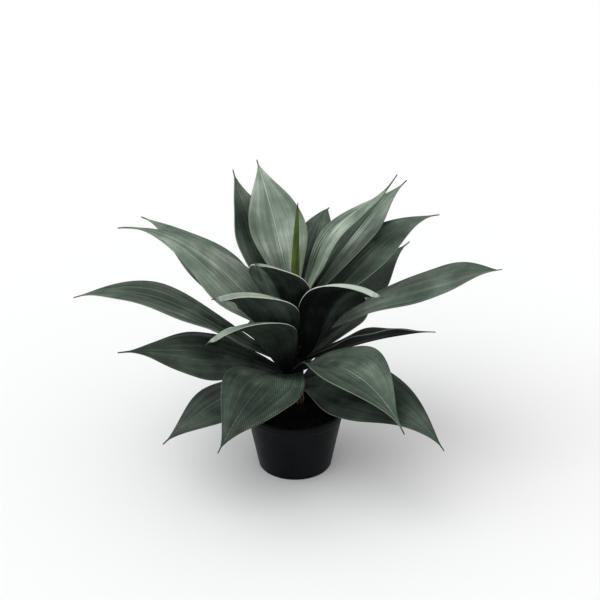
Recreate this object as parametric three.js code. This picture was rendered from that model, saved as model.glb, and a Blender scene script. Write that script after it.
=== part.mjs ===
// Potted artificial agave: a rosette of broad grey-green leaves on a short stem, in a small black pot.
// Millimetres, +Z up. The origin is the centre of the pot's base, on the ground; the front is at -Y.
import * as THREE from "three";

// Pot and what fills it
const potHeight = 76;
const potRimRadius = 57.5;
const potBaseRadius = 42.5;
const potWall = 2;
const potFloor = 2.5;
const potCollar = 9;
const potLip = 3.2;
const potSegments = 48;
const soilLevel = 60;
const soilEdge = 54;
const soilSeatRadius = 18;
const seatGap = 0.3;

// Stem, and the rolled young leaf that ends it
const stemBaseRadius = 10.5;
const stemTopRadius = 5;
const stemTop = 214;
const stemRibs = 12;
const stemRibDepth = 0.9;
const stemFlare = 1.5;
const stemSleeve = 82;
const stakeRadius = 7.6;
const stemLean = 5;
const stemPlumb = 96;
const spearTop = 328;
const spearRadius = 5.6;
const spearTipRadius = 0.9;
const spearLap = 0.16;

// Leaf section and mesh
const leafThickness = 2.2;
const leafEdge = 1.2;
const leafRootShare = 0.24;
const leafRootGap = 0.5;
const leafSpike = 3;
const leafSpikeTip = 1.1;
const leafStations = 14;
const leafStrips = 4;

// The leaves, roughly from the lowest up. All angles are in degrees.
// turn: direction seen from above, 0 at +X and 90 at +Y.  root: height of the root on the stem.
// rise: climb of the midrib at root, middle and tip.  swing: change of direction by the tip.
// roll: turn of the blade about its midrib, root and tip.  fold: turn of the section from edge to
// edge, root, middle and tip; below 0 the edges hang.  base: width of the root, as a share of the
// blade.  peak: where the blade is widest, as a share of its length.  point: how soon it narrows
// beyond that.  crease: how much of the fold lies in the midrib itself, 0 for a smooth curve.
const leaves = [
  { turn: 50, root: 96, length: 162, width: 62, rise: [10, -12, -25], fold: [80, 0, 20] },
  { turn: 218, root: 97, length: 182, width: 71, rise: [42, -6, -28], fold: [90, -13, -15],
    peak: 0.54, point: 1.7 },
  { turn: 316, root: 104, length: 222, width: 81, rise: [24, 6, -42], roll: [19, 29],
    fold: [92, -21, 17], peak: 0.37, point: 1.5 },
  { turn: 145, root: 99, length: 172, width: 62, rise: [12, -10, -25], fold: [80, 0, 20] },
  { turn: 254, root: 110, length: 232, width: 84, rise: [47, 9, -36], swing: -14, roll: [14, -34],
    fold: [94, -3, 20], base: 0.19, point: 1.5 },
  { turn: 104, root: 104, length: 205, width: 66, rise: [25, -5, -30], fold: [90, 0, 20] },
  { turn: 158, root: 108, length: 168, width: 60, rise: [18, 0, -18], fold: [90, 0, 20] },
  { turn: 195, root: 114, length: 203, width: 77, rise: [37, 16, 1], roll: [-10, -26],
    fold: [90, -20, 10] },
  { turn: 61, root: 117, length: 205, width: 66, rise: [22, 8, -20], fold: [90, 0, 20] },
  { turn: 239, root: 119, length: 175, width: 76, rise: [37, 51, -44], swing: -36, roll: [5, 36],
    fold: [122, 62, 20], base: 0.2, point: 1.8, crease: 0.5 },
  { turn: 305, root: 125, length: 208, width: 80, rise: [41, 5, -43], roll: [0, 12],
    fold: [90, 50, 30] },
  { turn: 120, root: 127, length: 215, width: 66, rise: [44, 14, -20], fold: [90, 0, 20] },
  { turn: 47, root: 129, length: 214, width: 72, rise: [38, 24, 14], roll: [5, 10],
    fold: [90, 40, 40], point: 1.8 },
  { turn: 178, root: 132, length: 260, width: 62, rise: [19, 27, -20], roll: [0, -6],
    fold: [90, 50, 40], peak: 0.62, point: 1.7 },
  { turn: 353, root: 136, length: 157, width: 54, rise: [20, 20, 0], roll: [-10, -30],
    fold: [80, 70, 50], point: 1.8 },
  { turn: 9, root: 151, length: 245, width: 72, rise: [42, 20, 11], swing: -16, roll: [-3, 0],
    fold: [108, -13, 80], peak: 0.73, point: 1.4 },
  { turn: 144, root: 149, length: 246, width: 62, rise: [38, 29, 4], roll: [-18, -12],
    fold: [90, -10, 10], point: 1.7 },
  { turn: 88, root: 157, length: 220, width: 66, rise: [38, 12, -25], fold: [90, 0, 20],
    base: 0.21 },
  { turn: 166, root: 157, length: 243, width: 72, rise: [47, 38, -12], roll: [-18, -12],
    fold: [90, -30, 10], base: 0.27, peak: 0.38, point: 2.2 },
  { turn: 312, root: 141, length: 176, width: 75, rise: [31, 65, -35], swing: 24, roll: [-13, -45],
    fold: [122, 48, 0], base: 0.22, peak: 0.62, point: 1.9, crease: 0.5 },
  { turn: 248, root: 139, length: 202, width: 64, rise: [44, 55, -8], swing: -36, roll: [3, 40],
    fold: [130, 45, 0], base: 0.2, peak: 0.47, point: 1.6, crease: 0.4 },
  { turn: 74, root: 166, length: 178, width: 56, rise: [42, 45, -10], roll: [8, 12],
    fold: [80, -10, 30], point: 1.5 },
  { turn: 30, root: 171, length: 219, width: 70, rise: [38, 36, -8], roll: [5, 10],
    fold: [90, 40, 30], point: 1.9 },
  { turn: 46, root: 181, length: 221, width: 72, rise: [57, 31, 22], roll: [-5, 0],
    fold: [100, 50, 40], point: 1.8 },
  { turn: 133, root: 187, length: 180, width: 78, rise: [54, 53, 62], swing: -14, roll: [0, 5],
    fold: [90, 60, 50], base: 0.3, peak: 0.42, point: 1.6 },
  { turn: 245, root: 160, length: 169, width: 72, rise: [75, 59, 30], roll: [0, 5],
    fold: [125, 45, 65], base: 0.26, peak: 0.52, point: 1.3, crease: 0.6 },
  { turn: 28, root: 193, length: 190, width: 56, rise: [64, 46, 52], roll: [-20, -20],
    fold: [80, 100, 60] },
  { turn: 112, root: 197, length: 179, width: 70, rise: [66, 51, 44], fold: [110, 50, 40],
    point: 1.5 },
];

const radians = THREE.MathUtils.degToRad;
const smooth = (low, high, x) => THREE.MathUtils.smoothstep(x, low, high);

// The parabola through three values at s = 0, 0.5 and 1.
function through([start, middle, end], s) {
  return start * (1 - s) * (1 - 2 * s) + 4 * middle * s * (1 - s) + end * s * (2 * s - 1);
}

function stemRadius(z) {
  const share = THREE.MathUtils.clamp((z - soilLevel) / (stemTop - soilLevel), 0, 1);
  return stemBaseRadius + (stemTopRadius - stemBaseRadius) * share;
}

// The stem stands a little off centre in the soil and meets the axis below the first leaf.
function stemOffset(z) {
  return stemLean * (1 - smooth(soilLevel, stemPlumb, z));
}

function leafWidth(leaf, s) {
  const { width, base = leafRootShare, peak = 0.5, point = 2 } = leaf;
  const grow = base + (1 - base) * smooth(0, peak, s);
  const t = THREE.MathUtils.clamp((s - peak) / (0.98 - peak), 0, 1);
  const blade = width * grow * (1 + point * t) * Math.pow(1 - t, point);
  const spike = leafSpikeTip + (leafSpike - leafSpikeTip) * (1 - smooth(0.86, 1, s));
  return Math.max(blade, spike);
}

// Middle surface of a leaf: a grid of points, station by station from root to tip.
function leafGrid(leaf) {
  const { turn, root, length, rise, swing = 0, roll = [0, 0], fold, crease = 0 } = leaf;
  const rows = [];
  const place = new THREE.Vector3();
  const substeps = 6;
  const step = length / (leafStations * substeps);
  // a steep leaf stands further out, as its folded edges lean in over the stem
  const outward = stemRadius(root) + leafRootGap + leafThickness * Math.sin(radians(rise[0]));
  place.set(outward * Math.cos(radians(turn)), outward * Math.sin(radians(turn)), root);
  const heading = (s) => {
    const climb = radians(through(rise, s));
    const way = radians(turn + swing * s * s);
    return {
      ahead: new THREE.Vector3(
        Math.cos(climb) * Math.cos(way), Math.cos(climb) * Math.sin(way), Math.sin(climb)),
      side: new THREE.Vector3(-Math.sin(way), Math.cos(way), 0),
    };
  };
  for (let i = 0; i <= leafStations; i++) {
    const s = i / leafStations;
    const { ahead, side } = heading(s);
    side.applyAxisAngle(ahead, radians(roll[0] + (roll[1] - roll[0]) * s));
    const up = new THREE.Vector3().crossVectors(ahead, side);
    const bend = radians(through(fold, s)) / 2;
    const sharp = crease * smooth(0.05, 0.4, s);
    // Half a section: beyond the crease its slope grows with the square root of the distance.
    const half = [[0, 0]];
    const pieces = 12;
    const piece = leafWidth(leaf, s) / 2 / pieces;
    for (let j = 1; j <= pieces; j++) {
      const slope = bend * (sharp + (1 - sharp) * Math.sqrt((j - 0.5) / pieces));
      const [x, y] = half[j - 1];
      half.push([x + Math.cos(slope) * piece, y + Math.sin(slope) * piece]);
    }
    const row = [];
    for (let j = 0; j <= leafStrips; j++) {
      const across = (2 * j) / leafStrips - 1;
      const [x, y] = half[Math.round(Math.abs(across) * pieces)];
      row.push(place.clone().addScaledVector(side, Math.sign(across) * x).addScaledVector(up, y));
    }
    rows.push(row);
    for (let k = 0; k < substeps && i < leafStations; k++) {
      const middle = (i + (k + 0.5) / substeps) / leafStations;
      place.addScaledVector(heading(middle).ahead, step);
    }
  }
  return rows;
}

// Closed blade around a middle surface, thick at the midrib and thin at the edges.
function bladeMesh(rows) {
  const across = rows[0].length;
  const faces = { top: [], bottom: [] };
  rows.forEach((row, i) => {
    const next = rows[Math.min(i + 1, rows.length - 1)];
    const last = rows[Math.max(i - 1, 0)];
    row.forEach((point, j) => {
      const along = new THREE.Vector3().subVectors(next[j], last[j]);
      const wide = new THREE.Vector3()
        .subVectors(row[Math.min(j + 1, across - 1)], row[Math.max(j - 1, 0)]);
      const normal = new THREE.Vector3().crossVectors(along, wide).normalize();
      const edge = Math.abs((2 * j) / (across - 1) - 1);
      const tip = smooth(0.7, 1, i / (rows.length - 1));
      const thick = leafThickness + (leafEdge - leafThickness) * Math.max(edge, tip);
      faces.top.push(point.clone().addScaledVector(normal, thick / 2));
      faces.bottom.push(point.clone().addScaledVector(normal, -thick / 2));
    });
  });
  const points = [...faces.top, ...faces.bottom];
  const under = faces.top.length;
  const triangles = [];
  const at = (i, j) => i * across + j;
  for (let i = 0; i < rows.length - 1; i++) {
    for (let j = 0; j < across - 1; j++) {
      const [a, b, c, d] = [at(i, j), at(i + 1, j), at(i + 1, j + 1), at(i, j + 1)];
      triangles.push(a, b, c, a, c, d);
      triangles.push(under + a, under + c, under + b, under + a, under + d, under + c);
    }
  }
  const ring = [];
  for (let j = 0; j < across; j++) ring.push(at(0, j));
  for (let i = 1; i < rows.length; i++) ring.push(at(i, across - 1));
  for (let j = across - 2; j >= 0; j--) ring.push(at(rows.length - 1, j));
  for (let i = rows.length - 2; i > 0; i--) ring.push(at(i, 0));
  ring.forEach((a, i) => {
    const b = ring[(i + 1) % ring.length];
    triangles.push(a, b, under + b, a, under + b, under + a);
  });
  return geometryOf(points, triangles);
}

function geometryOf(points, triangles) {
  const geometry = new THREE.BufferGeometry().setFromPoints(points);
  geometry.setIndex(triangles);
  return geometry;
}

// Solid between rings of points, closed at both ends.
function ringedSolid(rings) {
  const count = rings[0].length;
  const points = rings.flat();
  const triangles = [];
  for (let i = 0; i < rings.length - 1; i++) {
    for (let j = 0; j < count; j++) {
      const k = (j + 1) % count;
      const [a, b, c, d] = [i * count + j, i * count + k, (i + 1) * count + k, (i + 1) * count + j];
      triangles.push(a, b, c, a, c, d);
    }
  }
  const centre = (ring) => ring.reduce((sum, p) => sum.add(p), new THREE.Vector3())
    .divideScalar(ring.length);
  const low = points.push(centre(rings[0])) - 1;
  const high = points.push(centre(rings[rings.length - 1])) - 1;
  const last = (rings.length - 1) * count;
  for (let j = 0; j < count; j++) {
    const k = (j + 1) % count;
    triangles.push(low, k, j, high, last + j, last + k);
  }
  return geometryOf(points, triangles);
}

// Radius of the pot's outer wall below the collar.
function potRadius(z) {
  return potBaseRadius + (potRimRadius - 2 - potBaseRadius) * (z / (potHeight - potCollar));
}

function potMesh() {
  const collarBase = potHeight - potCollar;
  const inner = potRimRadius - potLip;
  const profile = [
    [0, 0], [potBaseRadius - 3, 0], [potBaseRadius - 0.9, 0.8], [potRadius(3), 3],
    [potRadius(collarBase - 1), collarBase - 1], [potRimRadius - 0.6, collarBase + 1],
    [potRimRadius, potHeight - 2], [potRimRadius - 0.4, potHeight - 0.6],
    [potRimRadius - 1.4, potHeight], [inner + 0.5, potHeight - 0.4], [inner, potHeight - 1.5],
    [potRadius(collarBase) - potWall, collarBase - 2],
    [potRadius(potFloor) - potWall, potFloor], [0, potFloor],
  ];
  return new THREE.LatheGeometry(profile.map(([r, z]) => new THREE.Vector2(r, z)), potSegments)
    .rotateX(Math.PI / 2);
}

// Filling with an uneven top and a flat seat for the stem.
function soilMesh() {
  const inside = (z) => potRadius(z) - potWall - 2 * seatGap;
  const level = (r, a) => soilLevel - 3 + 2.5 * (1 - r / 50)
    + 0.7 * Math.sin(3 * a + r / 7) + 0.5 * Math.cos(5 * a - r / 5);
  const ring = (r, z) => {
    const points = [];
    for (let j = 0; j < potSegments; j++) {
      const a = (2 * Math.PI * j) / potSegments;
      points.push(new THREE.Vector3(r * Math.cos(a), r * Math.sin(a), z(r, a)));
    }
    return points;
  };
  const base = potFloor + seatGap;
  return ringedSolid([
    ring(inside(base), () => base), ring(inside(soilEdge), level), ring(40, level),
    ring(28, level), ring(soilSeatRadius, () => soilLevel),
  ]);
}

// Stem: a plain stake out of the soil, then the ribbed sleeve that carries the leaves.
function stemMesh() {
  const heights = [soilLevel + seatGap, 64, 72, stemSleeve - 1, stemSleeve, 90, 97, 105, 130, 160,
    stemTop];
  const around = stemRibs * 4;
  const rings = heights.map((z) => {
    const points = [];
    const sleeved = z >= stemSleeve;
    const radius = sleeved ? stemRadius(z) : stakeRadius + stemFlare * (1 - smooth(58, 75, z));
    const ribs = sleeved ? stemRibDepth * (1 - 0.7 * smooth(92, 102, z)) : 0;
    for (let j = 0; j < around; j++) {
      const a = (2 * Math.PI * j) / around;
      const r = radius + ribs * (0.5 * Math.cos(stemRibs * a) - 0.5);
      points.push(new THREE.Vector3(stemOffset(z) + r * Math.cos(a), r * Math.sin(a), z));
    }
    return points;
  });
  return ringedSolid(rings);
}

// Young leaf still rolled up: a slim cone whose free edge winds round it.
function spearMesh() {
  const levels = 18;
  const around = 20;
  const base = stemTop + seatGap;
  const rings = [];
  for (let i = 0; i <= levels; i++) {
    const t = i / levels;
    const swell = 0.56 + 0.44 * smooth(0, 0.3, t);
    const radius = Math.max(spearTipRadius, spearRadius * swell * Math.pow(1 - t * t, 0.75));
    const points = [];
    for (let j = 0; j < around; j++) {
      const a = (2 * Math.PI * j) / around;
      // one step of the roll, turning by 80 degrees over the height
      const lap = ((a - 4 - 1.4 * t + 4 * Math.PI) % (2 * Math.PI)) / (2 * Math.PI);
      const r = radius * (1 - spearLap * lap);
      points.push(new THREE.Vector3(
        3.5 * t * t + r * Math.cos(a), 2 * t * t + r * Math.sin(a), base + (spearTop - base) * t));
    }
    rings.push(points);
  }
  return ringedSolid(rings);
}

const agave = new THREE.Group();
agave.name = "potted_agave";

function add(name, geometry, color, roughness) {
  const material = new THREE.MeshStandardMaterial({ color, roughness, metalness: 0 });
  const mesh = new THREE.Mesh(geometry, material);
  mesh.name = name;
  agave.add(mesh);
}

add("pot", potMesh(), "#17191a", 0.45);
add("soil", soilMesh(), "#1b1916", 0.95);
add("stem", stemMesh(), "#5d4c3a", 0.85);
add("spear", spearMesh(), "#708350", 0.6);

// Higher leaves are paler.
const lowGreen = new THREE.Color("#56645a");
const highGreen = new THREE.Color("#84948a");
leaves.forEach((leaf, i) => {
  const green = lowGreen.clone().lerp(highGreen, smooth(90, 200, leaf.root));
  add("leaf_" + String(i + 1).padStart(2, "0"), bladeMesh(leafGrid(leaf)), green, 0.7);
});

export default agave;
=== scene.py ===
import math

import bpy
import numpy as np
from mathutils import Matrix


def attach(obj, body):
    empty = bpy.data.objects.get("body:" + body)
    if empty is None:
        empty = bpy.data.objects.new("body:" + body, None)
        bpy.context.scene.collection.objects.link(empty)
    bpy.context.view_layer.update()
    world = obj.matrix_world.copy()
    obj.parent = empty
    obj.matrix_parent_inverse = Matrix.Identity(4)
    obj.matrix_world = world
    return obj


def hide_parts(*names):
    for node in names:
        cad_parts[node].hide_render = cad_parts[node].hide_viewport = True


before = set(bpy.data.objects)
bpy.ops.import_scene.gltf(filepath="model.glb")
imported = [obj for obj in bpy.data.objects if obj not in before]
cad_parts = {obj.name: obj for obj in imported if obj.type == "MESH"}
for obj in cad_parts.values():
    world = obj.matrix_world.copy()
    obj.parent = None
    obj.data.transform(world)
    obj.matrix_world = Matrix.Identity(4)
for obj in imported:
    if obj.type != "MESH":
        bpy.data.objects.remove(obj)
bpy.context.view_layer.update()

mm = 0.001
fullTurn = 2 * math.pi
print("frame loaded:", len(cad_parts), "nodes")


# helpers for the shapes

def smoothStep(low, high, x):
    # 0 below low, 1 above high, and 3t^2 - 2t^3 between them
    t = np.clip((x - low) / (high - low), 0, 1)
    return t * t * (3 - 2 * t)


def plateau(riseFrom, riseTo, fallFrom, fallTo, x):
    # 0, a smooth climb to 1, and a smooth fall back to 0
    return smoothStep(riseFrom, riseTo, x) * (1 - smoothStep(fallFrom, fallTo, x))


def parabola(values, s):
    # the parabola through three values at s = 0, 0.5 and 1
    start, middle, end = values
    return start * (1 - s) * (1 - 2 * s) + 4 * middle * s * (1 - s) + end * s * (2 * s - 1)


def waveNoise(seed, count, low, high, *axes):
    # sum of random plane waves, about -1 to 1, over as many coordinates as are given
    draw = np.random.default_rng(seed)
    total = 0
    for _ in range(count):
        push = draw.normal(size=len(axes))
        push *= draw.uniform(low, high) / np.linalg.norm(push)
        total = total + np.sin(sum(p * a for p, a in zip(push, axes)) + draw.uniform(0, fullTurn))
    return total / math.sqrt(count)


def gridQuads(rows, columns, wrap=False, first=0):
    # vertex numbers of the quads between neighbouring rows and columns of a grid
    across = columns if wrap else columns - 1
    i, j = np.meshgrid(np.arange(rows - 1), np.arange(across), indexing="ij")
    k = (j + 1) % columns
    low, high = i * columns, (i + 1) * columns
    return np.stack([low + j, low + k, high + k, high + j], -1).reshape(-1, 4) + first


def triples(first, second, third=0.0):
    # three numbers for each point, from arrays that stretch to one grid
    return np.stack(np.broadcast_arrays(first, second, third), -1)


def addMesh(name, points, faces, materials, faceMaterial=0, flatMaterial=None, attributes=None):
    # points in mm; faces with the material flatMaterial are shaded flat
    mesh = bpy.data.meshes.new(name)
    mesh.from_pydata((points * mm).tolist(), [], faces)
    for material in materials:
        mesh.materials.append(material)
    slots = np.zeros(len(faces), np.int32) + faceMaterial
    smooth = np.ones(len(faces), bool) if flatMaterial is None else slots != flatMaterial
    mesh.polygons.foreach_set("material_index", slots)
    mesh.polygons.foreach_set("use_smooth", smooth)
    for label, values in (attributes or {}).items():
        layer = mesh.attributes.new(label, "FLOAT_VECTOR", "POINT")
        layer.data.foreach_set("vector", np.ascontiguousarray(values, np.float32).ravel())
    mesh.update()
    thing = bpy.data.objects.new(name, mesh)
    bpy.context.scene.collection.objects.link(thing)
    return thing


def ringAngles(around):
    return np.linspace(0, fullTurn, around, endpoint=False)[None, :]


def ringPoints(r, a, z, besideX=0.0, besideY=0.0):
    # points at radius r and angle a round an upright axis beside the middle, at height z
    return triples(besideX + r * np.cos(a), besideY + r * np.sin(a), z)


def latheSolid(name, rings, material, attribute=None, values=None):
    # closed solid from rings of points, shape (rings, around, 3): quads between the rings, and a
    # fan from a pole to each end ring; a pole takes its values from one point of that ring
    count, around = rings.shape[:2]
    points = np.vstack([rings[0].mean(0), rings.reshape(-1, 3), rings[-1].mean(0)])
    j = np.arange(around)
    k = (j + 1) % around
    last = 1 + (count - 1) * around
    quads = gridQuads(count, around, wrap=True, first=1).tolist()
    low = np.stack([0 * j, k + 1, j + 1], -1).tolist()
    high = np.stack([0 * j + last + around, last + j, last + k], -1).tolist()
    attributes = None
    if attribute:
        values = values.reshape(-1, 3)
        attributes = {attribute: np.vstack([values[0], values, values[-1]])}
    return addMesh(name, points, quads + low + high, [material], attributes=attributes)


# helper for the materials

usualNoise = (0.3, 0.7)     # most of a noise lies between these


class Shader:
    # a material being wired: make() adds a node, and a value given to it is set or linked
    def __init__(self, name):
        self.material = bpy.data.materials.new(name)
        self.material.use_nodes = True
        self.tree = self.material.node_tree
        self.surface = self.tree.nodes["Principled BSDF"]

    def give(self, socket, value):
        if isinstance(value, bpy.types.NodeSocket):
            self.tree.links.new(value, socket)
        elif socket.type == "RGBA":
            socket.default_value = (*value, 1)
        else:
            socket.default_value = value

    def make(self, kind, inputs=None, **settings):
        made = self.tree.nodes.new(kind)
        for key, value in settings.items():
            setattr(made, key, value)
        for key, value in (inputs or {}).items():
            self.give(made.inputs[key], value)
        return made

    def maths(self, operation, first, second=0.0):
        made = self.make("ShaderNodeMath", {0: first, 1: second}, operation=operation)
        return made.outputs[0]

    def times(self, product, *others):
        for other in others:
            product = self.maths("MULTIPLY", product, other)
        return product

    def plus(self, total, *others):
        for other in others:
            total = self.maths("ADD", total, other)
        return total

    def spread(self, value, fromLow, fromHigh, toLow=0.0, toHigh=1.0, smooth=False):
        # fromLow to fromHigh becomes toLow to toHigh, and what lies outside stays at the ends
        return self.make("ShaderNodeMapRange", {
            "Value": value, "From Min": fromLow, "From Max": fromHigh,
            "To Min": toLow, "To Max": toHigh,
        }, interpolation_type="SMOOTHSTEP" if smooth else "LINEAR").outputs["Result"]

    def sway(self, noise, low, high):
        return self.spread(noise, *usualNoise, low, high)

    def blend(self, share, first, second, way="MIX"):
        made = self.make("ShaderNodeMix", data_type="RGBA", blend_type=way)
        for place, value in zip((0, 6, 7), (share, first, second)):
            self.give(made.inputs[place], value)
        return made.outputs[2]

    def noise(self, vector, scale, detail=3.0, rough=0.55):
        return self.make("ShaderNodeTexNoise", {
            "Vector": vector, "Scale": scale, "Detail": detail, "Roughness": rough}).outputs[0]

    def streaky(self, across, along, own, acrossScale, alongScale, *settings):
        # a noise drawn out along the piece; settings are those of noise()
        place = self.make("ShaderNodeCombineXYZ", {
            0: self.times(across, acrossScale), 1: self.times(along, alongScale), 2: own})
        return self.noise(place.outputs[0], *settings)

    def ramp(self, value, stops):
        made = self.make("ShaderNodeValToRGB", {0: value})
        while len(made.color_ramp.elements) < len(stops):
            made.color_ramp.elements.new(0.5)
        for element, (place, colour) in zip(made.color_ramp.elements, stops):
            element.position = place
            element.color = (*colour, 1)
        return made.outputs[0]

    def parts(self, attribute):
        # the three numbers of a vector attribute
        read = self.make("ShaderNodeAttribute", attribute_name=attribute)
        return self.make("ShaderNodeSeparateXYZ", {0: read.outputs["Vector"]}).outputs

    def objectPlace(self):
        return self.make("ShaderNodeTexCoord").outputs["Object"]

    def finish(self, colour, roughness, height=None, bump=0.3, bumpDepth=0.0005, gloss=0.5):
        # gloss is the same all over, so it is set on the shader itself; bumpDepth in metres
        self.give(self.surface.inputs["Base Color"], colour)
        self.give(self.surface.inputs["Roughness"], roughness)
        self.surface.inputs["Specular IOR Level"].default_value = gloss
        if height is not None:
            raised = self.make("ShaderNodeBump", {
                "Strength": bump, "Distance": bumpDepth, "Height": height})
            self.give(self.surface.inputs["Normal"], raised.outputs[0])
        return self.material


# camera: in front of the plant, looking down at the target by tilt degrees; places in metres

camera = dict(
    target=(0.0058, 0.0, 0.2114), distance=1.6, tilt=26.0, lens=85.73, sensor=36.0, farthest=80.0)


def addCamera():
    look = math.radians(camera["tilt"])
    x, y, z = camera["target"]
    data = bpy.data.cameras.new("camera")
    data.lens, data.sensor_width = camera["lens"], camera["sensor"]
    data.clip_end = camera["farthest"]
    thing = bpy.data.objects.new("camera", data)
    thing.location = (
        x, y - camera["distance"] * math.cos(look), z + camera["distance"] * math.sin(look))
    thing.rotation_euler = (math.pi / 2 - look, 0, 0)
    bpy.context.scene.collection.objects.link(thing)
    bpy.context.scene.camera = thing


addCamera()
print("camera placed")


# Each piece has a dictionary of its own: shape in mm, then finish. A span is where a change starts
# and ends. Waves are the seed, the count and the lowest and highest frequency of a waveNoise, on
# leaves without the seed. A noise is scale, detail and roughness, with the scales across and along
# before them if it is drawn out along the piece.

# pot

pot = dict(
    height=76.0, rimRadius=57.5, baseRadius=42.5, wall=2.0, floor=2.5, collar=9.0, collarStep=2,
    lip=3.2, innerDrop=2, hub=2, footFlat=4, crownDown=3, crownIn=0.1, neckIn=0.1, neckDown=0.6,
    shoulder=0.7, bends=(1, 1.6, 0.5, 0.6, 1, 1.1, 1, 0.6, 1, 1.5), mostOfSide=0.45, bendPoints=5,
    around=192,
    dark=(0.0018, 0.0022, 0.0028), light=(0.0045, 0.0055, 0.0072), lightFrom=0.35, lightTo=0.7,
    grainNoise=(700.0, 3.0), smearNoise=(28.0, 4.0, 0.6), rough=(0.34, 0.5), bump=0.16,
    bumpDepth=0.0002, gloss=0.06)


def potMaterial():
    s = Shader("potPlastic")
    grain = s.noise(s.objectPlace(), *pot["grainNoise"])
    smear = s.noise(s.objectPlace(), *pot["smearNoise"])
    share = s.spread(smear, pot["lightFrom"], pot["lightTo"])
    return s.finish(
        s.blend(share, pot["dark"], pot["light"]), s.sway(smear, *pot["rough"]), grain, pot["bump"],
        pot["bumpDepth"], pot["gloss"])


def potRadius(z):
    # the outside of the pot below its collar
    top = pot["rimRadius"] - pot["collarStep"]
    return pot["baseRadius"] + (top - pot["baseRadius"]) * z / (pot["height"] - pot["collar"])


def roundedProfile(corners, bends):
    # each corner becomes an arc-like bend: points on the quadratic curve between its two sides
    corners = np.array(corners, float)
    rows = [corners[:1]]
    t = np.linspace(0, 1, pot["bendPoints"])[:, None]
    for before, corner, after, bend in zip(corners[:-2], corners[1:-1], corners[2:], bends):
        back, on = np.linalg.norm(before - corner), np.linalg.norm(after - corner)
        reach = min(bend, pot["mostOfSide"] * back, pot["mostOfSide"] * on)
        start = corner + (before - corner) / back * reach
        end = corner + (after - corner) / on * reach
        rows.append((1 - t) ** 2 * start + 2 * t * (1 - t) * corner + t * t * end)
    rows.append(corners[-1:])
    return np.vstack(rows)


def buildPot():
    # the profile goes from the middle of the underside up the outside, over the rim and down inside
    top, rim, wall, floor = pot["height"], pot["rimRadius"], pot["wall"], pot["floor"]
    collar, inner = top - pot["collar"], rim - pot["lip"]
    corners = [
        (pot["hub"], 0), (pot["baseRadius"] - pot["footFlat"], 0), (pot["baseRadius"], 0),
        (potRadius(collar) - pot["neckIn"], collar - pot["neckDown"]),
        (rim - pot["shoulder"], collar + pot["shoulder"]),
        (rim - pot["crownIn"], top - pot["crownDown"]), (rim, top), (inner, top),
        (inner, collar + pot["innerDrop"]), (potRadius(collar) - wall, collar - pot["innerDrop"]),
        (potRadius(floor) - wall, floor), (pot["hub"], floor)]
    profile = roundedProfile(corners, pot["bends"])
    rings = ringPoints(profile[:, :1], ringAngles(pot["around"]), profile[:, 1:])
    return latheSolid("finePot", rings, potMaterial())


# filling of the pot

soil = dict(
    level=60.0, edge=54.0, gap=0.3, sag=3, dome=2.5, domeRadius=50, seatSpan=(14, 22),
    humps=0.7, humpCount=3, humpTwist=7, dips=0.5, dipCount=5, dipTwist=5, humpSpan=(4, 20),
    clods=0.35, clodWaves=(11, 10, 0.8, 1.6), grains=0.2, grainWaves=(12, 10, 2.0, 3.2),
    innerRing=6, hub=1.0, rings=60, wallMiddle=30, bevelIn=1.5, bevelUp=1.8, around=192,
    dark=(0.002, 0.0019, 0.0018), light=(0.016, 0.014, 0.012), darkPlace=0.4, lightPlace=0.68,
    grainNoise=(420.0, 4.0, 0.7), cloudNoise=(70.0,), grainShare=0.6, cloudShare=0.4, rough=0.95,
    bump=0.7, bumpDepth=0.0008, gloss=0.08)


def soilMaterial():
    s = Shader("potFilling")
    grain = s.noise(s.objectPlace(), *soil["grainNoise"])
    cloud = s.noise(s.objectPlace(), *soil["cloudNoise"])
    shade = s.plus(s.times(grain, soil["grainShare"]), s.times(cloud, soil["cloudShare"]))
    colour = s.ramp(shade, [
        (soil["darkPlace"], soil["dark"]), (soil["lightPlace"], soil["light"])])
    return s.finish(colour, soil["rough"], grain, soil["bump"], soil["bumpDepth"], soil["gloss"])


def buildSoil():
    # a disc whose top has slow humps and fine grains, level at the stem, closed by a floor and by a
    # wall that follows the inside of the pot, its lower edge cut off at a slant
    a = ringAngles(soil["around"])
    edge = potRadius(soil["edge"]) - pot["wall"] - soil["gap"]
    r = np.append(np.linspace(edge, soil["innerRing"], soil["rings"]), soil["hub"])[:, None]
    humps = (
        soil["humps"] * np.sin(soil["humpCount"] * a + r / soil["humpTwist"])
        + soil["dips"] * np.cos(soil["dipCount"] * a - r / soil["dipTwist"]))
    z = soil["level"] - soil["sag"] + soil["dome"] * (1 - r / soil["domeRadius"])
    z = z + humps * smoothStep(*soil["humpSpan"], r)
    z = z + (soil["level"] - z) * (1 - smoothStep(*soil["seatSpan"], r))
    x, y = r * np.cos(a), r * np.sin(a)
    z = z + soil["clods"] * waveNoise(*soil["clodWaves"], x, y)
    z = z + soil["grains"] * waveNoise(*soil["grainWaves"], x, y)
    low = pot["floor"] + soil["gap"]
    heights = np.array([low, low + soil["bevelUp"], soil["wallMiddle"]])[:, None]
    inward = np.array([soil["bevelIn"], 0, 0])[:, None]
    wall = potRadius(heights) - inward - pot["wall"] - soil["gap"]
    rings = np.concatenate([ringPoints(wall, a, heights), triples(x, y, z)])
    return latheSolid("fineSoil", rings, soilMaterial())


# stem

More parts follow.
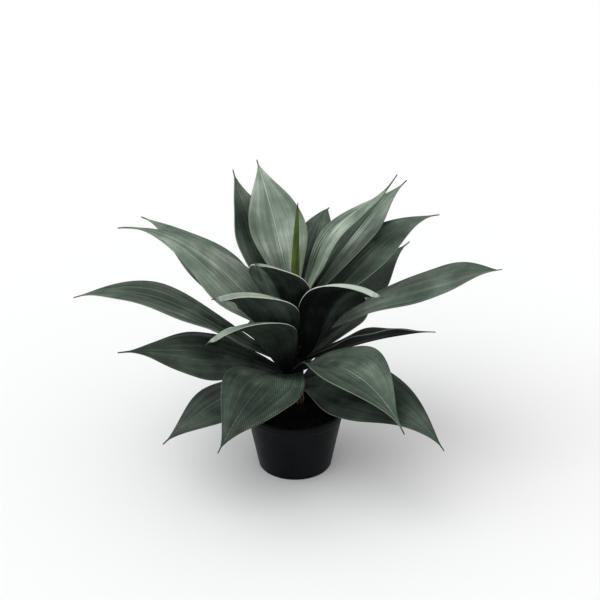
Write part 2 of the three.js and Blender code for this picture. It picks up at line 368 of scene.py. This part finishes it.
stem = dict(
    baseRadius=10.5, topRadius=5.0, top=214.0, foot=3, lean=5.0, plumb=96.0, around=288, rings=150,
    stake=7.6, flare=1.5, flareSpan=(58, 75), stakeRings=24,
    sleeve=82.0, sleeveStep=0.4, sleeveFirst=0.55, sleeveRest=0.45, sleeveRounding=2.5,
    ribs=12, ribDepth=1.5, ribFade=0.6, ribFadeSpan=(95, 110), wander=0.12,
    wanderWaves=(3, 3, 0.05, 0.12), strands=0.22, strandWaves=(5, 6, 18, 34), strandClimb=0.004,
    deepest=1.7, swelling=1.3, swellingSpan=(100, 112, 198, 212),
    tan=(0.13, 0.085, 0.052), brown=(0.032, 0.019, 0.012), shade=(0.006, 0.004, 0.003),
    stakeColour=(0.004, 0.0035, 0.0035), core=(0.006, 0.006, 0.005), places=(0.22, 0.5, 0.82),
    strandNoise=(26.0, 0.05, 1.5, 4.0, 0.65), cloudNoise=(90.0,), strandShare=0.6,
    ribGapShadeShare=0.45, cloudShade=(-0.12, 0.12), sleeveBelow=0.6, sleeveAbove=0.2,
    corePart=(97.0, 108.0, 0.0, 0.9), rough=0.85, bump=0.6, bumpDepth=0.0008, gloss=0.1)


def stemRadius(z):
    share = np.clip((z - soil["level"]) / (stem["top"] - soil["level"]), 0, 1)
    return stem["baseRadius"] + (stem["topRadius"] - stem["baseRadius"]) * share


def stemMaterial():
    # fibres, paler on the ribs and painted darker between them as shade in the gaps, with the plain
    # stake below and a dark core above
    s = Shader("stemFibre")
    around, height, depth = s.parts("fibre")
    strand = s.streaky(around, height, 0.0, *stem["strandNoise"])
    cloud = s.noise(s.objectPlace(), *stem["cloudNoise"])
    shade = s.plus(
        s.times(strand, stem["strandShare"]), s.times(depth, stem["ribGapShadeShare"]),
        s.sway(cloud, *stem["cloudShade"]))
    colour = s.ramp(shade, list(zip(stem["places"], (stem["shade"], stem["brown"], stem["tan"]))))
    sleeved = s.spread(
        height, stem["sleeve"] - stem["sleeveBelow"], stem["sleeve"] + stem["sleeveAbove"])
    colour = s.blend(sleeved, stem["stakeColour"], colour)
    colour = s.blend(s.spread(height, *stem["corePart"]), colour, stem["core"])
    return s.finish(colour, stem["rough"], strand, stem["bump"], stem["bumpDepth"], stem["gloss"])


def buildStem():
    # below the sleeve a plain stake with a flare at its foot; above it a taper with ribs, which are
    # a cosine round the stem that wanders as it climbs, and with finer strands
    sleeve = stem["sleeve"]
    z = np.concatenate([
        np.linspace(soil["level"] - stem["foot"], sleeve - stem["sleeveStep"], stem["stakeRings"]),
        np.linspace(sleeve, stem["top"], stem["rings"])])[:, None]
    a = ringAngles(stem["around"])
    rounding = smoothStep(sleeve, sleeve + stem["sleeveRounding"], z)
    sleeved = (z >= sleeve) * (stem["sleeveFirst"] + stem["sleeveRest"] * rounding)
    stake = stem["stake"] + stem["flare"] * (1 - smoothStep(*stem["flareSpan"], z))
    wander = stem["wander"] * waveNoise(*stem["wanderWaves"], z + 0 * a)
    wave = 0.5 * np.cos(stem["ribs"] * (a + wander)) - 0.5
    fade = 1 - stem["ribFade"] * smoothStep(*stem["ribFadeSpan"], z)
    ribs = stem["ribDepth"] * fade * wave * (z >= sleeve)
    strands = stem["strands"] * waveNoise(
        *stem["strandWaves"], np.cos(a) + 0 * z, np.sin(a) + 0 * z, stem["strandClimb"] * z + 0 * a)
    thicker = stem["swelling"] * plateau(*stem["swellingSpan"], z)
    r = stake + (stemRadius(z) - stake) * sleeved + ribs + strands + thicker
    lean = stem["lean"] * (1 - smoothStep(soil["level"], stem["plumb"], z))
    # depth: 1 on the ribs and less in the gaps, where the material paints shade
    depth = np.clip(1 + (ribs + strands) / stem["deepest"], 0, 1)
    rings = ringPoints(r, a, z, lean)
    return latheSolid("fineStem", rings, stemMaterial(), "fibre", triples(np.sin(a), z, depth))


# Leaf materials. They read four attributes of a leaf's points:
# blade: place across from -1 to 1, place along from 0 to 1, tone (on the underside, its painted
# light and shade)
# cut: mm beside the midrib, mm along the leaf, a number of the leaf's own for its noises
# mark: streaks, veins, edge light (how pale the cut edge is, in part a painted highlight)
# extra: brown tip, midrib

leafFinish = dict(
    # colours of the upper and the under side from dark to bright, and their places on the ramp; the
    # under colours are the same sheet painted far darker as shade, and the brightest upper one
    # serves painted light on the curled and upturned tops
    top=((0.0095, 0.014, 0.011), (0.043, 0.065, 0.048), (0.148, 0.194, 0.147), (0.44, 0.51, 0.43)),
    under=((0.0012, 0.002, 0.0017), (0.008, 0.012, 0.010), (0.042, 0.058, 0.046),
           (0.17, 0.215, 0.175)),
    places=(0.02, 0.28, 0.62, 0.96),
    tip=(0.016, 0.011, 0.009), tipShare=0.95,
    topRough=0.5, underRough=0.62, roughFrom=0.7, roughTo=1.3, roughLess=0.08, roughMore=0.12,
    topGloss=0.2, underGloss=0.1,
    broadNoise=(2.4, 0.9, 1.6, 4.0, 0.6), thinNoise=(20.0, 1.6, 1.5, 3.0, 0.6),
    hairNoise=(46.0, 3.0, 1.5, 2.0),
    cloudNoise=(26.0, 4.0, 0.6), patchNoise=(13.0, 3.0, 0.5), dustNoise=(900.0, 1.0),
    grainNoise=(300.0, 2.0),
    # what each pattern adds to the shade
    toneShade=0.62, broadShade=(-0.11, 0.11), patchShade=(-0.12, 0.1), cloudShade=(-0.09, 0.08),
    streakShade=0.085, veinShade=0.045,
    # veins: mm from one to the next, their slant, mm by which they wander, and where they fade
    veinGap=2.1, veinSlant=0.34, veinWander=2.4, veinFade=(0.4, 0.6, 0.25, 1.0),
    # midrib: a pale line between two darker ones, their ends in mm from the middle; the darker ones
    # are painted shade in the groove, and the pale line is the midrib's own, on the underside also
    # a painted highlight along the keel
    ribLine=(0.3, 0.7), ribTop=0.8, ribUnder=0.3, ribFade=(0.4, 0.6, 0.2, 1.0),
    grooveShadeInner=(0.7, 1.3), grooveShadeOuter=(1.4, 2.8), grooveShadeShare=0.35, paler=(2.1, 2.0, 2.0),
    # hairlines (scuffs, also standing for a painted brushed sheen) and dust: the part of the noise
    # that shows, and how strongly
    hairPart=(0.58, 0.66, 0.0, 1.0), hairPatch=(0.46, 0.58, 0.0, 0.9),
    dust=(0.4, 0.42, 0.39), dustPart=(0.76, 0.8, 0.0, 0.3),
    veinBump=0.3, streakBump=0.35, grainBump=0.5, bump=0.4, bumpDepth=0.0005)
edgeFinish = dict(
    pale=(0.62, 0.66, 0.58), plainFrom=0.1, plainTo=0.8, grainNoise=(240.0, 3.0),
    uneven=(0.3, 0.65, 1.0, 0.6), fromRoot=(0.12, 0.35, 0.0, 1.0), tipShare=0.9, rough=0.7,
    bump=0.3, bumpDepth=0.0003, gloss=0.2)


def leafMaterial(name, colours, rough, gloss, ribShare):
    # the shade is the leaf's tone, with the painted light and shade it carries, plus patches,
    # streaks and veins; a ramp turns it into a colour, and over that lie the midrib with painted
    # shade beside it, hairlines with a painted sheen, dust and the brown tip
    s = Shader(name)
    across, along, tone = s.parts("blade")
    side, length, own = s.parts("cut")
    streaks, veins = s.parts("mark")[:2]
    ending, rib = s.parts("extra")[:2]
    reach = s.maths("ABSOLUTE", side)
    broad = s.streaky(across, along, own, *leafFinish["broadNoise"])
    thin = s.streaky(across, along, own, *leafFinish["thinNoise"])
    cloud = s.noise(s.objectPlace(), *leafFinish["cloudNoise"])
    patch = s.noise(s.objectPlace(), *leafFinish["patchNoise"])
    # veins leave the midrib at a slant: a sine of the slanted length less the distance from it
    slanted = s.maths("SUBTRACT", s.times(length, leafFinish["veinSlant"]), reach)
    phase = s.plus(slanted, s.times(cloud, leafFinish["veinWander"]))
    vein = s.maths("SINE", s.times(phase, fullTurn / leafFinish["veinGap"]))
    vein = s.times(vein, s.spread(cloud, *leafFinish["veinFade"]), veins)
    streak = s.times(s.sway(thin, -1.0, 1.0), streaks)
    shade = s.plus(
        s.sway(broad, *leafFinish["broadShade"]), s.times(tone, leafFinish["toneShade"]),
        s.sway(patch, *leafFinish["patchShade"]), s.times(streak, leafFinish["streakShade"]),
        s.sway(cloud, *leafFinish["cloudShade"]), s.times(vein, leafFinish["veinShade"]))
    colour = s.ramp(shade, list(zip(leafFinish["places"], colours)))
    # midrib: painted shade in the groove beside it, then its pale line, on the underside also a
    # painted highlight on the keel
    patchy = s.spread(broad, *leafFinish["ribFade"])
    paintedGrooveShade = s.times(
        s.spread(reach, *leafFinish["grooveShadeInner"], 0.0, 1.0, smooth=True),
        s.spread(reach, *leafFinish["grooveShadeOuter"], 1.0, 0.0, smooth=True),
        leafFinish["grooveShadeShare"], patchy)
    colour = s.blend(paintedGrooveShade, colour, colours[0])
    paler = s.blend(1.0, colour, leafFinish["paler"], "MULTIPLY")
    line = s.spread(reach, *leafFinish["ribLine"], 1.0, 0.0, smooth=True)
    colour = s.blend(s.times(line, ribShare, rib, patchy), colour, paler)
    # sparse pale hairlines along the blade, in part scuffs as on a handled sheet and in part a
    # painted brushed sheen
    hairAndSheen = s.streaky(across, along, own, *leafFinish["hairNoise"])
    hairAndSheen = s.spread(hairAndSheen, *leafFinish["hairPart"])
    hairAndSheen = s.times(hairAndSheen, s.spread(cloud, *leafFinish["hairPatch"]), ribShare)
    colour = s.blend(hairAndSheen, colour, paler)
    # a few pale specks of dust, and the brown tip
    dust = s.noise(s.objectPlace(), *leafFinish["dustNoise"])
    colour = s.blend(s.spread(dust, *leafFinish["dustPart"]), colour, leafFinish["dust"])
    colour = s.blend(s.times(ending, leafFinish["tipShare"]), colour, leafFinish["tip"])
    roughness = s.spread(
        s.plus(broad, thin), leafFinish["roughFrom"], leafFinish["roughTo"],
        rough - leafFinish["roughLess"], rough + leafFinish["roughMore"])
    grain = s.noise(s.objectPlace(), *leafFinish["grainNoise"])
    height = s.plus(
        s.times(vein, leafFinish["veinBump"]), s.times(streak, leafFinish["streakBump"]),
        s.times(grain, leafFinish["grainBump"]))
    return s.finish(colour, roughness, height, leafFinish["bump"], leafFinish["bumpDepth"], gloss)


def edgeMaterial():
    # the cut edge of the sheet: as pale as the leaf's own mark says, which is the foam's pale cut
    # and, on the curled leaves, a painted highlight where their edges face the light; uneven, plain
    # near the root and brown at the tip
    s = Shader("leafCutEdge")
    along, tone = s.parts("blade")[1:3]
    light = s.parts("mark")[2]
    ending = s.parts("extra")[0]
    grain = s.noise(s.objectPlace(), *edgeFinish["grainNoise"])
    plain = s.ramp(s.times(tone, leafFinish["toneShade"]), [
        (edgeFinish["plainFrom"], leafFinish["top"][1]),
        (edgeFinish["plainTo"], leafFinish["top"][2])])
    share = s.times(
        light, s.spread(grain, *edgeFinish["uneven"]),
        s.spread(along, *edgeFinish["fromRoot"], smooth=True))
    colour = s.blend(share, plain, edgeFinish["pale"])
    colour = s.blend(s.times(ending, edgeFinish["tipShare"]), colour, leafFinish["tip"])
    return s.finish(
        colour, edgeFinish["rough"], grain, edgeFinish["bump"], edgeFinish["bumpDepth"],
        edgeFinish["gloss"])


leafTop = leafMaterial(
    "leafTop", leafFinish["top"], leafFinish["topRough"], leafFinish["topGloss"],
    leafFinish["ribTop"])
# the underside: the leaf material with darker colours that paint its shade
leafUnderShaded = leafMaterial(
    "leafUnderShaded", leafFinish["under"], leafFinish["underRough"], leafFinish["underGloss"],
    leafFinish["ribUnder"])
leafCutEdge = edgeMaterial()
print("leaf materials made")


# Leaf sheets. Here a span is a share of the leaf's length, but of its half width in curlMargin and
# underMiddle.

blade = dict(
    thickness=2.2, edge=1.0, thinSpan=(0.7, 1), rootGap=0.5, rootSink=2.6, rootDrop=0.35,
    spike=2.8, spikeTip=1.0, spikeSpan=(0.9, 1), pointEnd=0.985, creaseSpan=(0.05, 0.4),
    calmEnds=(0.08, 0.3, 0.75, 0.95), ripple=1.0, ripplePower=2.5, rippleWaves=(3, 9, 22),
    rightSeed=50, curlMargin=(0.62, 1.05), curlPower=1.5, curlSpan=(0.2, 0.75, 0.93, 1),
    swell=0.35, swellSeed=9, swellWaves=(5, 6, 16), swellStretch=0.25, swellPower=8,
    groove=0.45, grooveWidth=1.3, grooveSpan=(0, 0.1, 0.7, 0.95),
    toneSpan=(0, 0.45), paintedRootShade=0.6, underMiddle=(-0.05, 0.05), underShadeSpan=(0.05, 0.55),
    underRootShade=0.2, underRest=0.8, tipSolid=0.3, ownStep=3.7, stations=90, steps=12, strips=48)

# One dictionary a leaf, from leaf_01 on. Turn, swing, rise, roll and fold in degrees, the rest in
# mm or shares, as on the solid leaves; rise and fold at the root, the middle and the tip.
# base, peak, point: width at the root, place of the full width, how fast it narrows to the tip
# crease: how sharp the fold is at the midrib; curl: mm by which the margin turns outward
# pleat: how deep the lengthwise swellings are
# tone, rootTone: how pale the top is, and the same at the root, in part painted light and shade:
# lower leaves are painted darker, the curled tops paler as a painted highlight, and roots darker as
# shade
# under: how pale the underside is, left and right of the midrib seen from outside, painted light
# and shade: the half turned to the light paler, the other darker
# streaks, veins, rib: how strong they show; edgeLight: how pale the cut edge is, the foam's pale
# cut plus a painted highlight on the curled leaves' upturned edges
# tip: the brown share of the length

plainLeaf = dict(
    swing=0, roll=(0, 0), base=0.24, peak=0.5, point=2, crease=0, curl=0, pleat=1,
    under=(0.85, 0.85), streaks=1, veins=1, rib=0.5, edgeLight=0.15, tip=0.05)
leaves = [
    dict(turn=50, root=96, length=162, width=62, rise=(10, -12, -25), fold=(80, 0, 20), tone=0.35),
    dict(turn=218, root=97, length=182, width=71, rise=(42, -6, -28), fold=(90, -13, -15),
         peak=0.54, point=1.7, tone=0.3, rib=1.3, veins=1.2),
    dict(turn=316, root=104, length=222, width=81, rise=(24, 6, -42), roll=(19, 29),
         fold=(92, -21, 17), peak=0.37, point=1.5, tone=0.3, rootTone=0.6),
    dict(turn=145, root=99, length=172, width=62, rise=(12, -10, -25), fold=(80, 0, 20), tone=0.35),
    dict(turn=254, root=110, length=232, width=84, rise=(47, 9, -36), swing=-14, roll=(14, -34),
         fold=(94, -3, 20), base=0.19, point=1.5, tone=0.36, rootTone=-0.9, rib=1.3, veins=2.4),
    dict(turn=104, root=104, length=205, width=66, rise=(25, -5, -30), fold=(90, 0, 20), tone=0.4),
    dict(turn=158, root=108, length=168, width=60, rise=(18, 0, -18), fold=(90, 0, 20), tone=0.4),
    dict(turn=195, root=114, length=203, width=77, rise=(37, 16, 1), roll=(-10, -26),
         fold=(90, -20, 10), pleat=2.2, tone=0.26, rootTone=-0.3),
    dict(turn=61, root=117, length=205, width=66, rise=(22, 8, -20), fold=(90, 0, 20), tone=0.45),
    dict(turn=239, root=119, length=175, width=76, rise=(37, 51, -44), swing=-36, roll=(5, 36),
         fold=(122, 62, 20), base=0.2, point=1.8, crease=0.5, curl=5, tone=1.25,
         under=(1.0, 0.85), edgeLight=0.8),
    dict(turn=305, root=125, length=208, width=80, rise=(41, 5, -43), roll=(0, 12),
         fold=(90, 50, 30), tone=0.6, rootTone=0.95, rib=1.3, veins=2.2, streaks=1.3),
    dict(turn=120, root=127, length=215, width=66, rise=(44, 14, -20), fold=(90, 0, 20), tone=0.5),
    dict(turn=47, root=129, length=214, width=72, rise=(38, 24, 14), roll=(5, 10),
         fold=(90, 40, 40), point=1.8, tone=0.47),
    dict(turn=178, root=132, length=260, width=62, rise=(19, 27, -20), roll=(0, -6),
         fold=(90, 50, 40), peak=0.62, point=1.7, pleat=4.0, tone=0.62, streaks=2.0, tip=0.06),
    dict(turn=353, root=136, length=157, width=54, rise=(20, 20, 0), roll=(-10, -30),
         fold=(80, 70, 50), point=1.8, tone=0.2, under=(0.2, 0.2), tip=0.14),
    dict(turn=9, root=151, length=245, width=72, rise=(42, 20, 11), swing=-16, roll=(-3, 0),
         fold=(108, -13, 80), peak=0.73, point=1.4, tone=0.62, streaks=1.3),
    dict(turn=144, root=149, length=246, width=62, rise=(38, 29, 4), roll=(-18, -12),
         fold=(90, -10, 10), point=1.7, tone=0.8, rootTone=0.5, streaks=1.4),
    dict(turn=88, root=157, length=220, width=66, rise=(38, 12, -25), fold=(90, 0, 20),
         base=0.21, tone=0.65),
    dict(turn=166, root=157, length=243, width=72, rise=(47, 38, -12), roll=(-18, -12),
         fold=(90, -30, 10), base=0.27, peak=0.38, point=2.2, pleat=1.8, tone=1.1, rootTone=0.75,
         streaks=1.6, tip=0.1),
    dict(turn=312, root=141, length=176, width=75, rise=(31, 65, -35), swing=24, roll=(-13, -45),
         fold=(122, 48, 0), base=0.22, peak=0.62, point=1.9, crease=0.5, curl=6, tone=1.5,
         under=(0.15, 0.6), edgeLight=1.0),
    dict(turn=248, root=139, length=202, width=64, rise=(44, 55, -8), swing=-36, roll=(3, 40),
         fold=(130, 45, 0), base=0.2, peak=0.47, point=1.6, crease=0.4, curl=6, tone=1.5,
         edgeLight=1.0),
    dict(turn=74, root=166, length=178, width=56, rise=(42, 45, -10), roll=(8, 12),
         fold=(80, -10, 30), point=1.5, tone=0.5),
    dict(turn=30, root=171, length=219, width=70, rise=(38, 36, -8), roll=(5, 10),
         fold=(90, 40, 30), point=1.9, tone=0.66, streaks=1.6),
    dict(turn=46, root=181, length=221, width=72, rise=(57, 31, 22), roll=(-5, 0),
         fold=(100, 50, 40), point=1.8, tone=1.0, rootTone=0.85, streaks=3.6),
    dict(turn=133, root=187, length=180, width=78, rise=(54, 53, 62), swing=-14, roll=(0, 5),
         fold=(90, 60, 50), base=0.3, peak=0.42, point=1.6, tone=0.62),
    dict(turn=245, root=160, length=169, width=72, rise=(75, 59, 30), roll=(0, 5),
         fold=(125, 45, 65), base=0.26, peak=0.52, point=1.3, crease=0.6, curl=3, tone=1.2,
         under=(1.15, 0.65), edgeLight=1.0),
    dict(turn=28, root=193, length=190, width=56, rise=(64, 46, 52), roll=(-20, -20),
         fold=(80, 100, 60), tone=1.15, rootTone=1.1, under=(1.35, 1.35), streaks=3.4, tip=0.15),
    dict(turn=112, root=197, length=179, width=70, rise=(66, 51, 44), fold=(110, 50, 40),
         point=1.5, tone=1.06, rootTone=0.9, rib=0.4, streaks=0.7),
]


def leafWidth(leaf, s):
    # widens smoothly from the root to the peak, then narrows as (1 + p t)(1 - t)^p with p for
    # point, down to the spike
    peak, point = leaf["peak"], leaf["point"]
    grow = leaf["base"] + (1 - leaf["base"]) * smoothStep(0, peak, s)
    t = np.clip((s - peak) / (blade["pointEnd"] - peak), 0, 1)
    thinner = 1 - smoothStep(*blade["spikeSpan"], s)
    spike = blade["spikeTip"] + (blade["spike"] - blade["spikeTip"]) * thinner
    return np.maximum(leaf["width"] * grow * (1 + point * t) * (1 - t) ** point, spike)


def leafHeading(leaf, s):
    # direction of the midrib, and the level direction across it, at each s
    climb = np.radians(parabola(leaf["rise"], s))
    way = np.radians(leaf["turn"] + leaf["swing"] * s * s)
    ahead = triples(np.cos(climb) * np.cos(way), np.cos(climb) * np.sin(way), np.sin(climb))
    return ahead, triples(-np.sin(way), np.cos(way))


def leafMidrib(leaf):
    # from the seat on the stem, the sum of small steps along the heading, one point a station
    count = blade["stations"] * blade["steps"]
    ahead = leafHeading(leaf, (np.arange(count) + 0.5) / count)[0]
    path = np.vstack([np.zeros(3), np.cumsum(ahead * leaf["length"] / count, 0)])[::blade["steps"]]
    turn, rise = math.radians(leaf["turn"]), math.radians(leaf["rise"][0])
    seat = stemRadius(leaf["root"]) + blade["rootGap"] + blade["thickness"] * math.sin(rise)
    return path + np.array([seat * math.cos(turn), seat * math.sin(turn), leaf["root"]])


def leafSection(leaf, s, u, seed):
    # mm beside and above the midrib at each station. The section's slope is half the fold times
    # the square root of the share of the way out, and a crease gives part of that fold at once
    half = blade["strips"] // 2
    bend = np.radians(parabola(leaf["fold"], s))[:, None] / 2
    sharp = leaf["crease"] * smoothStep(*blade["creaseSpan"], s)[:, None]
    slope = bend * (sharp + (1 - sharp) * np.sqrt((np.arange(half) + 0.5) / half))
    strip = leafWidth(leaf, s)[:, None] / 2 / half
    middle = np.zeros((len(s), 1))
    x = np.hstack([middle, np.cumsum(np.cos(slope) * strip, 1)])
    y = np.hstack([middle, np.cumsum(np.sin(slope) * strip, 1)])
    x, y = np.hstack([-x[:, :0:-1], x]), np.hstack([y[:, :0:-1], y])
    # margins wave gently: a few long waves, different on each side, none at root and tip
    left = waveNoise(seed, *blade["rippleWaves"], s[:, None])
    right = waveNoise(seed + blade["rightSeed"], *blade["rippleWaves"], s[:, None])
    calm = plateau(*blade["calmEnds"], s)[:, None]
    ripple = blade["ripple"] * calm * np.abs(u) ** blade["ripplePower"]
    # curled leaves turn their margin outward, more and more towards the tip
    margin = smoothStep(*blade["curlMargin"], np.abs(u)) ** blade["curlPower"]
    margin = margin * plateau(*blade["curlSpan"], s)[:, None]
    return x, y + ripple * np.where(u < 0, left, right) - leaf["curl"] * margin


def leafSides(leaf, s, u, seed):
    # the section, rolled and carried along the midrib, is a sheet; the two sides lie half the
    # thickness off it, with soft lengthwise swellings, and a groove along the midrib above a keel
    ahead, level = leafHeading(leaf, s)
    rollFrom, rollTo = leaf["roll"]
    roll = np.radians(rollFrom + (rollTo - rollFrom) * s)[:, None]
    side = level * np.cos(roll) + np.cross(ahead, level) * np.sin(roll)
    up = np.cross(ahead, side)
    x, y = leafSection(leaf, s, u, seed)
    sheet = leafMidrib(leaf)[:, None] + x[..., None] * side[:, None] + y[..., None] * up[:, None]
    normal = np.cross(np.gradient(sheet, axis=0), np.gradient(sheet, axis=1))
    normal = normal / np.maximum(np.linalg.norm(normal, axis=-1, keepdims=True), 1e-9)
    s = s[:, None]
    thinner = np.maximum(np.abs(u), smoothStep(*blade["thinSpan"], s))
    thick = blade["thickness"] + (blade["edge"] - blade["thickness"]) * thinner
    waves = waveNoise(
        seed + blade["swellSeed"], *blade["swellWaves"],
        u + 0 * s, blade["swellStretch"] * s + 0 * u)
    calm = plateau(*blade["calmEnds"], s)
    swell = blade["swell"] * leaf["pleat"] * calm * (1 - u ** blade["swellPower"]) * waves
    reach = np.abs(u) * leafWidth(leaf, s) / 2
    groove = blade["groove"] * np.exp(-(reach / blade["grooveWidth"]) ** 2)
    groove = groove * plateau(*blade["grooveSpan"], s)
    top = sheet + normal * (thick / 2 + swell - groove)[..., None]
    under = sheet + normal * (swell - thick / 2 - groove)[..., None]
    # one more row at the root bends into the stem
    turn = math.radians(leaf["turn"])
    sink = np.array([-math.cos(turn), -math.sin(turn), -blade["rootDrop"]]) * blade["rootSink"]
    return np.concatenate([top[:1] + sink, top]), np.concatenate([under[:1] + sink, under])


def leafFaces(rows, columns):
    # quads of the upper side, of the under side, and of the rim that joins them
    size = rows * columns
    upper = gridQuads(rows, columns)[:, ::-1]
    lower = gridQuads(rows, columns, first=size)
    at = np.arange(size).reshape(rows, columns)
    ring = np.concatenate([at[0], at[1:, -1], at[-1, -2::-1], at[-2:0:-1, 0]])
    follow = np.roll(ring, -1)
    return upper, lower, np.stack([ring, follow, follow + size, ring + size], -1)


def leafMarks(leaf, s, u, seed):
    # the numbers that the leaf materials read, for the upper and then for the under side
    across, along = np.broadcast_arrays(u, s[:, None])
    # by default the root is painted darker, as shade in the rosette's crowded middle; a leaf's
    # rootTone sets the painted light or shade there itself
    start = leaf.get("rootTone", leaf["tone"] - blade["paintedRootShade"])
    tone = start + (leaf["tone"] - start) * smoothStep(*blade["toneSpan"], along)
    # the underside's paleness is painted light and shade: its two halves as the light falls on
    # them, and darker towards the root
    left, right = leaf["under"]
    shaded = left + (right - left) * smoothStep(*blade["underMiddle"], across)
    fromRoot = smoothStep(*blade["underShadeSpan"], along)
    shaded = shaded * (blade["underRootShade"] + blade["underRest"] * fromRoot)
    ending = smoothStep(1 - leaf["tip"], 1 - blade["tipSolid"] * leaf["tip"], along)
    beside = across * leafWidth(leaf, s)[:, None] / 2
    cut = triples(beside, along * leaf["length"], seed * blade["ownStep"])
    mark = triples(leaf["streaks"] + 0 * along, leaf["veins"], leaf["edgeLight"])
    extra = triples(ending, leaf["rib"])
    return {
        "blade": np.stack([triples(across, along, tone), triples(across, along, shaded)]),
        "cut": np.stack([cut, cut]), "mark": np.stack([mark, mark]),
        "extra": np.stack([extra, extra])}


def buildLeaf(name, leaf, seed):
    s = np.linspace(0, 1, blade["stations"] + 1)
    u = np.linspace(-1, 1, blade["strips"] + 1)[None, :]
    sides = np.stack(leafSides(leaf, s, u, seed))
    faces = leafFaces(*sides.shape[1:3])
    s = np.append(0, s)
    return addMesh(
        name, sides.reshape(-1, 3), np.vstack(faces).tolist(), [leafTop, leafUnderShaded, leafCutEdge],
        faceMaterial=np.repeat([0, 1, 2], [len(part) for part in faces]), flatMaterial=2,
        attributes=leafMarks(leaf, s, u, seed))


# young rolled leaf

spear = dict(
    top=328.0, gap=0.3, foot=3, radius=5.6, tipRadius=0.5, footShare=0.56, bodyShare=0.44,
    bodyFrom=0.3, taper=0.75, driftX=3.5, driftY=2, lap=0.2, lapEdge=0.03, seamTurn=4,
    seamWind=1.4, around=96, rings=150,
    light=(0.095, 0.145, 0.022), dark=(0.015, 0.032, 0.008), tip=(0.02, 0.016, 0.012),
    darkPlace=0.35, lightPlace=0.72, thinNoise=(9.0, 2.0, 1.6), cloudNoise=(60.0,), thinShare=0.7,
    cloudShare=0.4, tipPart=(0.86, 0.97, 0.0, 0.95), rough=(0.42, 0.6), bump=0.3,
    bumpDepth=0.0005, gloss=0.2)


def spearMaterial():
    s = Shader("youngLeaf")
    around, along = s.parts("roll")[:2]
    thin = s.streaky(around, along, 0.0, *spear["thinNoise"])
    cloud = s.noise(s.objectPlace(), *spear["cloudNoise"])
    shade = s.plus(s.times(thin, spear["thinShare"]), s.times(cloud, spear["cloudShare"]))
    colour = s.ramp(shade, [
        (spear["darkPlace"], spear["dark"]), (spear["lightPlace"], spear["light"])])
    colour = s.blend(s.spread(along, *spear["tipPart"], smooth=True), colour, spear["tip"])
    return s.finish(
        colour, s.sway(thin, *spear["rough"]), thin, spear["bump"], spear["bumpDepth"],
        spear["gloss"])


def buildSpear():
    # the radius swells from the foot, then falls as (1 - t^2)^0.75; it also shrinks by the lap on
    # the way round, which leaves a step at the seam, and the seam winds as it climbs
    t = np.linspace(0, 1, spear["rings"])[:, None]
    a = ringAngles(spear["around"])
    base = stem["top"] + spear["gap"] - spear["foot"]
    body = spear["footShare"] + spear["bodyShare"] * smoothStep(0, spear["bodyFrom"], t)
    radius = np.maximum(spear["tipRadius"], spear["radius"] * body * (1 - t * t) ** spear["taper"])
    lap = ((a - spear["seamTurn"] - spear["seamWind"] * t) % fullTurn) / fullTurn
    r = radius * (1 - spear["lap"] * lap * smoothStep(0, spear["lapEdge"], lap))
    rings = ringPoints(
        r, a, base + (spear["top"] - base) * t, spear["driftX"] * t * t, spear["driftY"] * t * t)
    return latheSolid("fineSpear", rings, spearMaterial(), "roll", triples(lap, t))


# the pieces, each in the place of its solid

for number, leaf in enumerate(leaves, 1):
    node = f"leaf_{number:02d}"
    piece = buildLeaf(f"fineLeaf{number:02d}", {**plainLeaf, **leaf}, number)
    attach(piece, "root")
    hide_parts(node)
print("leaves:", len(leaves))

piece = buildSpear()
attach(piece, "root")
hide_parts("spear")
print("young leaf made")

piece = buildStem()
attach(piece, "root")
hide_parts("stem")
print("stem made")

piece = buildSoil()
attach(piece, "root")
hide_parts("soil")
print("filling made")

piece = buildPot()
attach(piece, "root")
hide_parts("pot")
print("pot made")


# floor, its size in metres, and light

stage = dict(
    size=44.0, colour=(0.86, 0.86, 0.86), darker=0.99, cloudNoise=(3.0,), rough=0.9, gloss=0.1,
    world=(1.0, 1.0, 1.0), worldStrength=0.76)
lights = dict(
    key=dict(tilt=32, turn=225, spread=60, power=1.3, colour=(1.0, 1.0, 0.99)),
    side=dict(tilt=68, turn=185, spread=50, power=0.6, colour=(0.86, 0.94, 1.0)))


def buildStage():
    s = Shader("floorPale")
    other = tuple(stage["darker"] * c for c in stage["colour"])
    colour = s.blend(s.noise(s.objectPlace(), *stage["cloudNoise"]), stage["colour"], other)
    s.finish(colour, stage["rough"], gloss=stage["gloss"])
    half = stage["size"] / mm / 2
    points = np.array([(-half, -half, 0), (half, -half, 0), (half, half, 0), (-half, half, 0)])
    addMesh("floor", points, [(0, 1, 2, 3)], [s.material])


def addSun(name, tilt, turn, spread, power, colour):
    # shines from tilt degrees off the vertical, from the side at turn degrees seen from above
    data = bpy.data.lights.new(name, "SUN")
    data.angle, data.energy, data.color = math.radians(spread), power, colour
    lamp = bpy.data.objects.new(name, data)
    lamp.rotation_euler = (math.radians(tilt), 0, math.radians(turn + 90))
    bpy.context.scene.collection.objects.link(lamp)


def addWorld():
    world = bpy.data.worlds.new("world")
    world.use_nodes = True
    background = world.node_tree.nodes["Background"]
    background.inputs[0].default_value = (*stage["world"], 1)
    background.inputs[1].default_value = stage["worldStrength"]
    bpy.context.scene.world = world


buildStage()
addWorld()
for name, values in lights.items():
    addSun(name, **values)
bpy.context.scene.view_settings.view_transform = "Standard"
print("stage and lights made")

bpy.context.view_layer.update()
